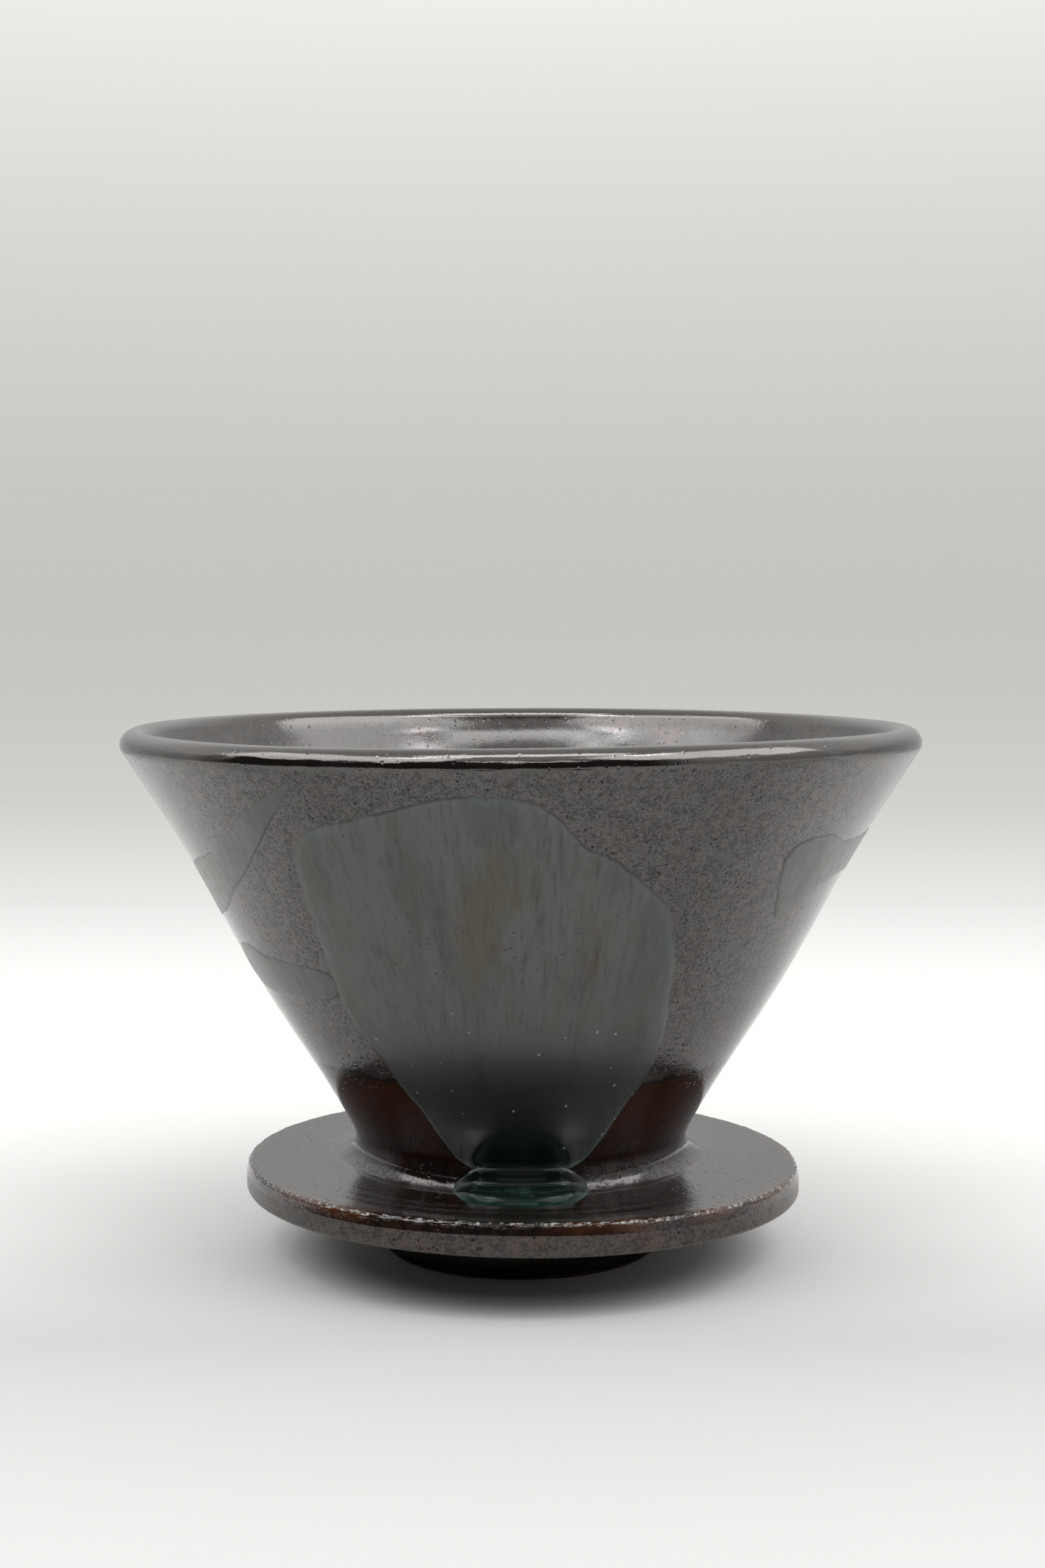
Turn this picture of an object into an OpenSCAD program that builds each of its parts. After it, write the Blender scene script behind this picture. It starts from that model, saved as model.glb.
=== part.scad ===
/* [Cone] */
// Outer diameter across the rolled lip
rim_d = 124; // [110:1:140]
// Overall height, from the foot to the top of the lip
height = 82.4; // [76:0.2:96]
// Thickness of the rolled lip
lip_t = 4.8; // [4:0.2:6]
// Full angle of the outer wall
wall_angle = 60.5; // [56:0.5:64]
// How far the wall tucks in beneath the lip
lip_step = 1.2; // [0.8:0.1:1.6]
// How far the wall swells out from a straight cone, and draws in above it
belly = 0.4; // [0:0.1:0.8]
// Height over which the wall swells out once and draws in once
belly_wave = 40; // [30:1:50]
// Height where the swell starts
belly_z = 34; // [30:1:40]
// Outer diameter of the neck, where the cone meets the flange
neck_d = 52; // [50:1:54]

/* [Outlet] */
// Diameter of the drain hole
outlet_d = 24; // [18:1:24]
// Length of the straight part of the drain hole
outlet_len = 3.5; // [2:0.5:4]
// Height of the outlet above the table
outlet_z = 3; // [2:0.5:4]
// Wall thickness at the outlet's mouth
outlet_t = 2.8; // [2:0.1:3]
// Diameter of the spigot that passes through the flange
spigot_d = 40; // [38:1:42]

/* [Flange] */
// Outer diameter of the flange
flange_d = 87; // [84:1:100]
// Thickness of the flange at its middle
flange_t = 4.5; // [4:0.1:6]
// How far the flange's top rises towards its edge
flange_dish = 0.2; // [0:0.1:0.6]
// Radius of the flange's upper edge
top_round = 1.2; // [0.8:0.1:1.8]
// Radius of the flange's lower edge
under_round = 0.8; // [0.5:0.1:1.2]

/* [Foot] */
// Outer diameter of the foot ring, which drops into a mug's mouth
foot_d = 43; // [42:1:44]
// Wall thickness of the foot ring
foot_t = 4; // [3.5:0.1:4]
// Height of the foot ring
foot_h = 9.5; // [8:0.5:12]
// Radius of the cove where the foot ring spreads under the flange
foot_cove = 2.5; // [1.5:0.1:3]
// Bevel round the bottom of the foot ring
foot_bevel = 0.7; // [0.4:0.1:1]
// Depth of the seat cut into the flange's underside for the foot ring
foot_seat = 0.5; // [0.3:0.1:1]

/* [Neck coil] */
// Height and width of the coil of clay that seals the cone to the flange
coil = 3.6; // [3:0.1:4]

/* [Ribs] */
// Number of ribs inside the cone
rib_count = 12; // [6:1:16]
// How far each rib stands off the wall
rib_h = 2; // [1.5:0.1:2.5]
// Height above the table where the ribs start
rib_low_z = 14; // [12:1:20]
// Height above the table where the ribs end
rib_high_z = 66; // [50:1:70]

/* [Glaze] */
// Thickness of the poured second glaze
pour_t = 0.45; // [0.3:0.05:0.6]
// Radius of the pool of glaze at the front of the neck
pool_r = 10.8; // [9:0.1:12]
// Height of the top of the pool above the flange
pool_h = 5.5; // [5:0.1:6]
// How far the pool spreads over the flange from the neck
pool_spread = 7.8; // [6:0.1:9]

/* [Hidden] */
rim_r = rim_d / 2;
neck_r = neck_d / 2;
flange_r = flange_d / 2;
foot_r = foot_d / 2;
foot_in_r = foot_r - foot_t;
foot_out_r = foot_r + foot_cove;     // where the cove ends under the flange
spigot_r = spigot_d / 2;
outlet_r = outlet_d / 2;
throat_z = outlet_z + outlet_len;    // where the drain hole opens into the cone
flange_z = foot_h;                   // underside of the flange
seat_z = flange_z + foot_seat;       // where the foot ring meets the flange and the spigot
neck_z = foot_h + flange_t;          // top of the flange at the neck
lip_r = lip_t / 2;
lip_z = height - lip_r;              // middle of the rolled lip
wall_top_z = lip_z - 2;              // crease beneath the lip
lip_bite = 0.9;                      // how far the wall's outline runs on into the round of the lip
wall_slope = tan(wall_angle / 2);
inner_slope = (rim_r - lip_t - outlet_r) / (lip_z - throat_z);
inner_tilt = atan(inner_slope);
band_step = 4;                       // height of one band of the turned wall
pool_top_z = neck_z + pool_h;
pour_top_z = wall_top_z - 0.2;
spout_gap = 1;                       // between the outlet's spout and the foot ring, at the top
rib_sink = 0.8;                      // how far the middle of a rib's bar lies within the wall
lap = 1;                             // how far a cutting shape runs past the face it cuts
feather = 0.2;                       // thickness left at the thin edge of a cove

clay = [0.27, 0.24, 0.24];
dark_clay = [0.22, 0.18, 0.17];
toasted_clay = [0.30, 0.20, 0.16];
ash_glaze = [0.36, 0.40, 0.42];
pool_glaze = [0.14, 0.27, 0.25];

// Outlines of the pours, going round each one: azimuth in degrees from the front, then height.
front_outline = [
    [-34, 69], [-37, 62], [-37.5, 52], [-38.4, 43], [-34, 34.5], [-29, 27.5], [-20, 19.6],
    [20, 19.6], [29, 27.5], [32.5, 34], [30, 47], [27.5, 53.5], [23.5, 60], [15, 66],
    [9, 69], [2, 75], [-10, 75.7], [-24, 72.4]];
streak_outline = [
    [-30.5, 77.5], [-38, 71], [-46.5, 64.8], [-56.5, 59.8], [-66, 56], [-80, 53.5], [-92, 52],
    [-97, 55], [-88, 60], [-72, 63], [-57, 65.7], [-47, 69.8], [-38, 74.4]];
left_outline = [
    [-40, 48.4], [-46, 49.3], [-57, 49.7], [-65, 50.8], [-72, 49.8], [-77, 46.4], [-72, 43.6],
    [-60, 43.3], [-48, 43.6], [-40, 45.3]];
right_outline = [
    [46, 67.2], [45, 63.5], [47, 60], [49.5, 56.2], [54, 57.2], [62, 59.8], [75, 61], [88, 59.5],
    [97, 62.5], [90, 67], [76, 67], [62, 66.6], [54, 68.2]];
rear_outline = [
    [150, 73], [147, 63], [154, 53], [158, 43], [166, 32], [177, 27], [187, 33], [191, 45],
    [202, 53], [209, 63], [204, 72], [188, 75], [168, 74.6]];

function rib_name(k) = str("rib_", k < 10 ? "0" : "", k);

$fn = 96;

// Outer radius of the wall: a cone, with one low swell and one shallow hollow up its height.
function wall_r(z) =
    max(neck_r,
        rim_r - lip_step - wall_slope * (wall_top_z - z)
        + belly * sin(360 * (z - belly_z) / belly_wave));

// Inner radius: a plain cone from the drain hole up to the inside of the lip.
function inner_r(z) = outlet_r + inner_slope * (z - throat_z);

// Heights of the turned bands, from one height to another.
function bands(low, high) =
    let (count = ceil((high - low) / band_step))
    [for (i = [0:count]) low + (high - low) * i / count];

// A point on the smooth curve between b and c, with a and d their neighbours.
function between(a, b, c, d, t) =
    0.5 * (2 * b + (c - a) * t + (2 * a - 5 * b + 4 * c - d) * t * t
        + (3 * b - a - 3 * c + d) * t * t * t);

// A closed smooth curve through the points, with a few steps on each stretch.
function rounded(points, steps = 3) =
    let (n = len(points))
    [for (i = [0:n - 1], s = [0:steps - 1])
        between(points[(i + n - 1) % n], points[i], points[(i + 1) % n], points[(i + 2) % n],
            s / steps)];

// Cross-section of the cone: lip, wall, shoulder, spigot, and the spout of the outlet.
module cone_section() {
    up = bands(neck_z, wall_top_z);
    polygon(concat(
        [[outlet_r, outlet_z], [outlet_r + outlet_t, outlet_z]],
        [[foot_in_r - spout_gap, seat_z], [spigot_r, seat_z], [spigot_r, neck_z]],
        [for (z = up) [wall_r(z), z]],
        [[wall_r(wall_top_z) + lip_bite * wall_slope, wall_top_z + lip_bite]],
        [[inner_r(lip_z + lip_bite), lip_z + lip_bite], [outlet_r, throat_z]]));
    translate([rim_r - lip_r, lip_z])
        circle(lip_r);
}

module cone_wall() {
    color(clay)
        rotate_extrude()
            cone_section();
}

// A flat ring with a soft edge, dished a little, bored for the cone's spigot and seated for the foot.
module flange_plate() {
    top_z = neck_z + flange_dish;
    flat_r = flange_r - 8;
    color(dark_clay)
        rotate_extrude() {
            polygon([
                [spigot_r, seat_z], [foot_out_r, seat_z], [foot_out_r, flange_z],
                [flange_r - under_round, flange_z], [flange_r, flange_z + under_round],
                [flange_r, top_z - top_round], [flange_r - top_round, top_z],
                [flat_r, neck_z], [spigot_r, neck_z]]);
            translate([flange_r - top_round, top_z - top_round])
                circle(top_round);
            translate([flange_r - under_round, flange_z + under_round])
                circle(under_round);
        }
}

// The ring that the dripper stands on, spreading in a cove to the flange's underside.
module foot_ring() {
    color(toasted_clay)
        rotate_extrude()
            difference() {
                polygon([
                    [foot_in_r, 0], [foot_r - foot_bevel, 0], [foot_r, foot_bevel],
                    [foot_r, flange_z - foot_cove], [foot_out_r, flange_z - foot_cove],
                    [foot_out_r, seat_z], [foot_in_r, seat_z]]);
                translate([foot_out_r + feather, flange_z - foot_cove - feather])
                    circle(foot_cove);
            }
}

// Cross-section of the coil, smoothed by a finger into a hollow curve.
module coil_section() {
    difference() {
        translate([neck_r, neck_z])
            square(coil);
        translate([neck_r + coil + feather / 2, neck_z + coil + feather / 2])
            circle(coil - feather / 2);
    }
}

module neck_coil() {
    color(dark_clay)
        rotate_extrude()
            coil_section();
}

// One straight rib: a round bar sunk partly into the inner wall, of which only the part inside shows.
module rib(k) {
    bar_r = rib_h + rib_sink;
    length = (rib_high_z - rib_low_z) / cos(inner_tilt);
    color(clay)
        rotate([0, 0, (k - 0.5) * 360 / rib_count])
            intersection() {
                translate([0, 0, throat_z])
                    cylinder(r1 = outlet_r, r2 = inner_r(lip_z), h = lip_z - throat_z);
                translate([inner_r(rib_low_z) + rib_sink / cos(inner_tilt), 0, rib_low_z])
                    rotate([0, inner_tilt, 0]) {
                        cylinder(r = bar_r, h = length, $fn = 32);
                        sphere(bar_r, $fn = 32);
                        translate([0, 0, length])
                            sphere(bar_r, $fn = 32);
                    }
            }
}

// A thin layer on the wall inside an outline that is laid round the cone at the given azimuth.
module pour(outline, azimuth) {
    up = [for (z = bands(neck_z, wall_top_z)) if (z > pool_top_z && z < pour_top_z) z];
    heights = concat([pool_top_z], up, [pour_top_z]);
    last = len(heights) - 1;
    color(ash_glaze)
        intersection() {
            rotate_extrude()
                polygon(concat(
                    [for (z = heights) [wall_line(z), z]],
                    [for (i = [last:-1:0]) [wall_line(heights[i]) + pour_t, heights[i]]]));
            rotate([0, 0, azimuth])
                rotate([90, 0, 0])
                    linear_extrude(rim_r + lap)
                        polygon([for (p = rounded(outline))
                            [wall_r(p[1]) * sin(p[0] - azimuth), p[1]]]);
        }
}

// Radius of the turned wall between two of its bands, where it runs straight.
function wall_line(z) =
    let (up = bands(neck_z, wall_top_z),
        step = up[1] - up[0],
        i = min(floor((z - neck_z) / step), len(up) - 2),
        t = (z - up[i]) / step)
    wall_r(up[i]) * (1 - t) + wall_r(up[i + 1]) * t;

// A rounded puddle of glaze that fills the corner between the neck and the flange.
module glaze_pool() {
    color(pool_glaze)
        intersection() {
            rotate_extrude()
                difference() {
                    polygon([
                        [neck_r, neck_z], [neck_r + pool_spread, neck_z],
                        [neck_r + pool_spread - 0.2, neck_z + 0.4],
                        [neck_r + pool_spread - 1.4, neck_z + 1.2],
                        [neck_r + 4.4, neck_z + 2.6], [neck_r + 2.2, neck_z + 4.4],
                        [neck_r + 1.2, pool_top_z], [neck_r, pool_top_z]]);
                    coil_section();
                    cone_section();
                }
            translate([0, 3 - neck_r, neck_z])
                cylinder(r = pool_r, h = pool_h);
        }
}

cone_wall();
flange_plate();
foot_ring();
neck_coil();
for (k = [1:rib_count])
    rib(k);
pour(front_outline, 0);  // front_pour
pour(streak_outline, -62);  // left_streak
pour(left_outline, -58);  // left_pour
pour(right_outline, 70);  // right_pour
pour(rear_outline, 178);  // rear_pour
glaze_pool();
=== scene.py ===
import math
import bpy
import numpy as np
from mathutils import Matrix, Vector


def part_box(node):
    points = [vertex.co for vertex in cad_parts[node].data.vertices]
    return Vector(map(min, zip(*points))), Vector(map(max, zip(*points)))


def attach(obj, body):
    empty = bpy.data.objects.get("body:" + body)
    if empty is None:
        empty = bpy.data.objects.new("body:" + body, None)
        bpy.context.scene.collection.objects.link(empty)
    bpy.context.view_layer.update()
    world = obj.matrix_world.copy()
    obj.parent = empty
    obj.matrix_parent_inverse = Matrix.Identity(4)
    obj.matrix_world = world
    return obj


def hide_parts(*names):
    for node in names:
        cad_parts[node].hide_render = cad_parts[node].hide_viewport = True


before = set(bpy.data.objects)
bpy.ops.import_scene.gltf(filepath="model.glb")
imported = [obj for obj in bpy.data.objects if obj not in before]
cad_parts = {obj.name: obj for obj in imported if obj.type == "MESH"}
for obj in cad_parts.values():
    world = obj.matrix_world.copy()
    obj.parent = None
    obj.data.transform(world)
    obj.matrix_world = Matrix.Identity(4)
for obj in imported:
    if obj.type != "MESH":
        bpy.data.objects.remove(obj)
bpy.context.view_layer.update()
print("frame loaded:", len(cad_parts), "parts")

mm = 0.001          # all shapes below are worked out in millimetres
fullTurn = 2 * math.pi


def boxMm(node):
    # lowest and highest corner of a CAD node, in millimetres
    low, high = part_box(node)
    return np.array(low) / mm, np.array(high) / mm


coneHigh = boxMm("cone_wall")[1]
flangeLow, flangeHigh = boxMm("flange_plate")
neckTop = boxMm("neck_coil")[0][2]      # top of the flange at the neck

cone = {
    "rimRadius": coneHigh[0],
    "lipRadius": 2.4,
    "lipTop": coneHigh[2],
    "lipCorner": -9,            # where the outer wall runs into the round of the lip, degrees
    "lipEnd": 163,              # where the round runs into the inner wall, degrees
    "lipStep": 1.2,             # how far the wall stays inside the lip, two millimetres below its middle
    "lipTurn": [                # the way from the wall out to the lip, as shares of the step out and up
        (0.12, 0.3), (0.7, 0.5), (0.95, 0.8)],
    "wallAngle": 60.5,          # full angle of the outer wall, degrees
    "belly": 0.4,               # swell and hollow of the wall
    "bellyStart": 34,
    "bellyWave": 40,
    "neckRadius": 26,
    "neckSoft": 0.5,            # how gently the neck opens into the wall
    "outletRadius": 12,
    "outletEnd": 3,             # height of the spout's mouth
    "throat": 6.5,              # height where the drain hole opens into the cone
    "spoutWall": 2.8,
    "spoutTop": 16.5,           # radius of the spout where it leaves the flange
    "spigotRadius": 20,
    "marksLow": 20,             # finger marks start at this height
    "marksFull": 32,            # and are all there at this one
    "innerRipple": 0.17,        # depth of the finger marks inside
    "outerRipple": 0.018,
    "lipWaver": 0.05,
    "lipCrumbs": 0.018,
    "oval": 0.0016,             # share by which the rim is drawn out one way and pressed in the other
    "ovalTurn": 0.7,
    "rightLift": 0.12,          # the rim stands up at the right
    "frontTwist": 0.3,          # and more so at the front right, with as deep a dip at the front left
    "rimDrop": 0.05,
    "around": 448,
}
flange = {
    "radius": flangeHigh[0],
    "under": flangeLow[2],
    "rise": 0.2,                # dish towards the edge
    "dishStart": 32,            # radius where the dish begins
    "dishFull": 2.5,            # it is full this far inside the edge
    "neckRise": 0.7,            # sweep up into the coil
    "neckRiseFrom": 29,         # radius where the sweep is full
    "neckRiseReach": 3.2,
    "topRound": 1.0,
    "bevelIn": 0.22,            # the roll of glaze under the edge draws in by this much
    "bevelLow": 1.9,            # and ends this far below the top
    "bevelTurn": 11,            # slope of the bevel where it meets the roll, degrees
    "arrisIn": 0.55,            # the middle of the roll, inwards from the edge
    "arrisDown": 0.25,          # and down from the top
    "breakReach": 1.3,          # glaze runs thin this far from the arris
    "crustReach": 0.45,         # and is crusted with crystals this far
    "underRound": 0.8,
    "frontLift": 0.55,          # the edge stands up a little at the front
    "tilt": 0.6,                # how far the thrown ring leans to one side, degrees
    "shift": 0.3,
    "leanStart": 30,            # the ring is true, and has no turning rings, inside this radius
    "ripple": 0.014,            # turning rings on the top
    "edgeWaver": 0.07,
    "edgeCrumbs": 0.07,
    "around": 640,
}
lipZ = cone["lipTop"] - cone["lipRadius"]
wallTop = lipZ - 2
innerSlope = (cone["rimRadius"] - 2 * cone["lipRadius"] - cone["outletRadius"]) / (lipZ - cone["throat"])
innerTilt = math.atan(innerSlope)


def ease(share):
    # a share from 0 to 1 that starts and ends gently
    return share * share * (3 - 2 * share)


def softMax(a, b, width):
    # the larger of two values, with the corner between them rounded off
    return 0.5 * (a + b + np.sqrt((a - b) ** 2 + width ** 2))


def wallRadius(z):
    # straight cone plus one slow sine swell, never narrower than the neck
    halfAngle = math.radians(cone["wallAngle"] / 2)
    line = (cone["rimRadius"] - cone["lipStep"] - math.tan(halfAngle) * (wallTop - z)
            + cone["belly"] * np.sin(fullTurn * (z - cone["bellyStart"]) / cone["bellyWave"]))
    return softMax(line, cone["neckRadius"] - 0.02, cone["neckSoft"])


def innerRadius(z):
    # straight line from the drain hole to the inside of the lip
    return cone["outletRadius"] + innerSlope * (z - cone["throat"])


def waves(angle, height, seed, count=7, around=6, pitch=9.0):
    # a sum of sine waves that go round a whole number of times and climb at random rates, between -1 and 1
    dice = np.random.default_rng(seed)
    total = np.zeros(np.broadcast(angle, height).shape)
    for k in range(count):
        turns = dice.integers(-around, around + 1)
        climb = fullTurn / (pitch * dice.uniform(0.7, 1.6))
        total += np.sin(turns * angle + climb * height + dice.uniform(0, fullTurn))
    return total / count * 1.6


def crumbly(shape, seed):
    # random grit on a grid that closes round its columns, each value averaged twice with its neighbours, and
    # mostly between -1 and 1
    grit = np.random.default_rng(seed).normal(size=shape)
    for _ in range(2):
        grit = (np.roll(grit, 1, 1) + 2 * grit + np.roll(grit, -1, 1)) / 4
        grit[1:-1] = (grit[:-2] + 2 * grit[1:-1] + grit[2:]) / 4
    return grit / grit.std() * 0.5


def marksRise(height):
    # share of the finger marks that is there at a height: none at the neck, all of them a little above it
    return np.clip((height - cone["marksLow"]) / (cone["marksFull"] - cone["marksLow"]), 0, 1)


def wallMarks(angle, height):
    # the wall's faint finger marks, waves that die out at the neck and over five millimetres under the lip
    fade = marksRise(height) * np.clip((lipZ - 1 - height) / 5, 0, 1)
    return fade * cone["outerRipple"] * waves(angle, height, 9, 9, 5, 11.0)


def place(radius, angle, height):
    # angle 0 is the front, -Y, and grows towards +X
    return np.stack([radius * np.sin(angle), -radius * np.cos(angle), height], axis=-1)


def leanCone(points):
    # a hand-thrown rim: slightly oval, higher at the right and the front right; the shift grows with the
    # square of the height above the neck
    high = np.clip((points[..., 2] - neckTop) / (lipZ - neckTop), 0, 1) ** 2
    angle = np.arctan2(points[..., 0], -points[..., 1])
    scale = 1 + cone["oval"] * high * np.cos(2 * angle + cone["ovalTurn"])
    moved = points.copy()
    moved[..., 0] *= scale
    moved[..., 1] *= scale
    twist = cone["frontTwist"] * np.sin(2 * angle) * (0.5 + 0.5 * np.cos(angle))
    moved[..., 2] += high * (cone["rightLift"] * np.sin(angle) + twist - cone["rimDrop"])
    return moved


def leanFlange(points):
    # outside the coil the ring leans to one side and sits a little off centre, most of all at its edge
    radius = np.hypot(points[..., 0], points[..., 1])
    away = ease(np.clip((radius - flange["leanStart"]) / (flange["radius"] - flange["leanStart"]), 0, 1))
    moved = points.copy()
    moved[..., 2] -= away * math.tan(math.radians(flange["tilt"])) * points[..., 0]
    moved[..., 0] += away * flange["shift"]
    return moved


def smoothLoop(points, steps):
    # Catmull-Rom curve through a closed ring of points
    ring = np.asarray(points, float)
    before, after, beyond = np.roll(ring, 1, 0), np.roll(ring, -1, 0), np.roll(ring, -2, 0)
    t = np.linspace(0, 1, steps, endpoint=False)[None, :, None]
    a, b, c, d = before[:, None], ring[:, None], after[:, None], beyond[:, None]
    curve = 0.5 * (2 * b + (c - a) * t + (2 * a - 5 * b + 4 * c - d) * t ** 2
                   + (3 * b - a - 3 * c + d) * t ** 3)
    return curve.reshape(-1, ring.shape[1])


def arc(centreR, centreZ, radius, start, end, count):
    # points of a circle's arc in the radius-height plane, angles in degrees
    angle = np.radians(np.linspace(start, end, count))
    return np.stack([centreR + radius * np.cos(angle), centreZ + radius * np.sin(angle)], axis=-1)


def ruled(start, end, count):
    # evenly spaced points between two points, without the last one
    return np.linspace(start, end, count, endpoint=False)


def ringFaces(rows, cols, closedRows, closedCols):
    # quads of a grid, wrapped round in either direction
    row = np.arange(rows if closedRows else rows - 1)[:, None]
    col = np.arange(cols if closedCols else cols - 1)[None, :]
    nextRow, nextCol = (row + 1) % rows, (col + 1) % cols
    corner = [row * cols + col, row * cols + nextCol, nextRow * cols + nextCol, nextRow * cols + col]
    return np.stack(np.broadcast_arrays(*corner), axis=-1).reshape(-1, 4)


def facesOut(points, faces):
    # signed volume of the closed shape; a negative one is turned the right way out
    a, b, c, d = (points[faces[:, k]] for k in range(4))
    volume = np.einsum("ij,ij->i", a, np.cross(b, c)).sum() + np.einsum("ij,ij->i", a, np.cross(c, d)).sum()
    return faces if volume > 0 else faces[:, ::-1]


def makePiece(name, points, faces, marks, fans=()):
    # puts a closed quad mesh, with any triangle fans at its poles and its marks as attributes, into the scene
    faces = facesOut(points, faces)
    lists = faces.tolist() + list(fans)
    mesh = bpy.data.meshes.new(name)
    mesh.from_pydata((points * mm).tolist(), [], lists)
    for key, values in marks.items():
        stored = mesh.attributes.new(key, "FLOAT", "POINT")
        stored.data.foreach_set("value", values.ravel().astype(np.float32))
    mesh.polygons.foreach_set("use_smooth", np.ones(len(lists), dtype=bool))
    mesh.update()
    piece = bpy.data.objects.new(name, mesh)
    bpy.context.scene.collection.objects.link(piece)
    return piece


def turned(profile, around, shape, marks):
    # a closed ring of (radius, height) points carried round the axis, each point then moved by the shape
    # function; the marks have one value for each point of the profile
    angle = np.linspace(0, fullTurn, around, endpoint=False)[None, :]
    radius, height = profile[:, 0:1], profile[:, 1:2]
    radius = radius + np.zeros_like(angle)
    height = height + np.zeros_like(angle)
    radius, height = shape(radius, angle + np.zeros_like(radius), height)
    points = place(radius, angle, height)
    values = {key: np.repeat(value[:, None], around, axis=1) for key, value in marks.items()}
    return points, ringFaces(len(profile), around, True, True), values


def patch(name, top, bottom, marks):
    # two grids with the same edge, sewn together round it
    rows, cols = top.shape[:2]
    inner = ringFaces(rows, cols, False, False)
    index = np.arange(rows * cols).reshape(rows, cols)
    edge = np.concatenate([index[0, :-1], index[:-1, -1], index[-1, :0:-1], index[:0:-1, 0]])
    after = np.roll(edge, -1)
    under = rows * cols
    side = np.stack([after, edge, edge + under, after + under], axis=-1)
    faces = np.concatenate([inner, inner[:, ::-1] + under, side])
    points = np.concatenate([top.reshape(-1, 3), bottom.reshape(-1, 3)])
    doubled = {key: np.concatenate([value.ravel(), value.ravel()]) for key, value in marks.items()}
    return makePiece(name, points, faces, doubled)


def buildCone():
    # one closed profile: outer wall up, round the lip, inner wall down, drain hole, spout, spigot and
    # shoulder, with the edges of the hole and the spout rounded by a few tenths of a millimetre
    lipR = cone["rimRadius"] - cone["lipRadius"]
    lip = arc(lipR, lipZ, cone["lipRadius"], cone["lipCorner"], cone["lipEnd"], 46)
    outer = np.linspace(neckTop, lip[0, 1] - 0.2, 88)
    outer = np.stack([wallRadius(outer), outer], axis=-1)
    outer = np.concatenate([outer, outer[-1] + (lip[0] - outer[-1]) * np.array(cone["lipTurn"])])
    inner = np.linspace(lipZ - 0.8, cone["throat"] + 0.9, 62)
    inner = np.stack([innerRadius(inner), inner], axis=-1)
    drainR, mouth = cone["outletRadius"], cone["outletEnd"]
    drain = np.array([
        [drainR + 0.25, cone["throat"] + 0.25], [drainR, cone["throat"] - 0.5], [drainR, mouth + 0.8],
        [drainR + 0.25, mouth + 0.25], [drainR + 0.8, mouth]])
    spoutR, spoutTop = drainR + cone["spoutWall"], cone["spoutTop"]
    spout = np.array([
        [spoutR - 0.7, mouth], [spoutR - 0.2, mouth + 0.2], [spoutR + 0.05, mouth + 0.8],
        [spoutTop - 0.1, flange["under"] - 0.3], [spoutTop, flange["under"]]])
    hidden = np.array([
        [cone["spigotRadius"], flange["under"]], [cone["spigotRadius"], neckTop],
        [cone["neckRadius"] - 1, neckTop]])
    profile = np.concatenate([outer, lip, inner, drain, spout, hidden])
    isInner = np.zeros(len(profile))
    isInner[len(outer) + len(lip):len(outer) + len(lip) + len(inner)] = 1
    onLip = np.clip((profile[:, 1] - lipZ + 0.7) / 0.5, 0, 1) * (1 - isInner)

    def shape(radius, angle, height):
        # shallow finger marks, deeper inside, dying out at the neck and at the lip; the lip wavers and is a
        # little crumbly, less so away from its middle
        fade = marksRise(height) * np.clip((lipZ - height) / 3, 0, 1)
        both = waves(angle, height, 4, 7, 5, 8.0) + waves(angle, height, 6, 7, 14, 12.0)
        inside = fade * cone["innerRipple"] * both
        fingers = np.where(isInner[:, None] > 0, inside, wallMarks(angle, height))
        nearLip = np.exp(-((height - lipZ) / 2.5) ** 2)
        waver = cone["lipWaver"] * nearLip * waves(angle, 0 * height, 21, 9, 16)
        nearTop = np.exp(-((height - lipZ - 0.6) / 1.0) ** 2)
        crumbs = cone["lipCrumbs"] * nearTop * crumbly(radius.shape, 22)
        return radius + fingers + waver + crumbs, height + 0.6 * waver + crumbs

    points, faces, marks = turned(profile, cone["around"], shape, {"lip": onLip, "inside": isInner})
    piece = makePiece("thrownCone", leanCone(points).reshape(-1, 3), faces, marks)
    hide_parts("cone_wall")
    return piece


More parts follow.
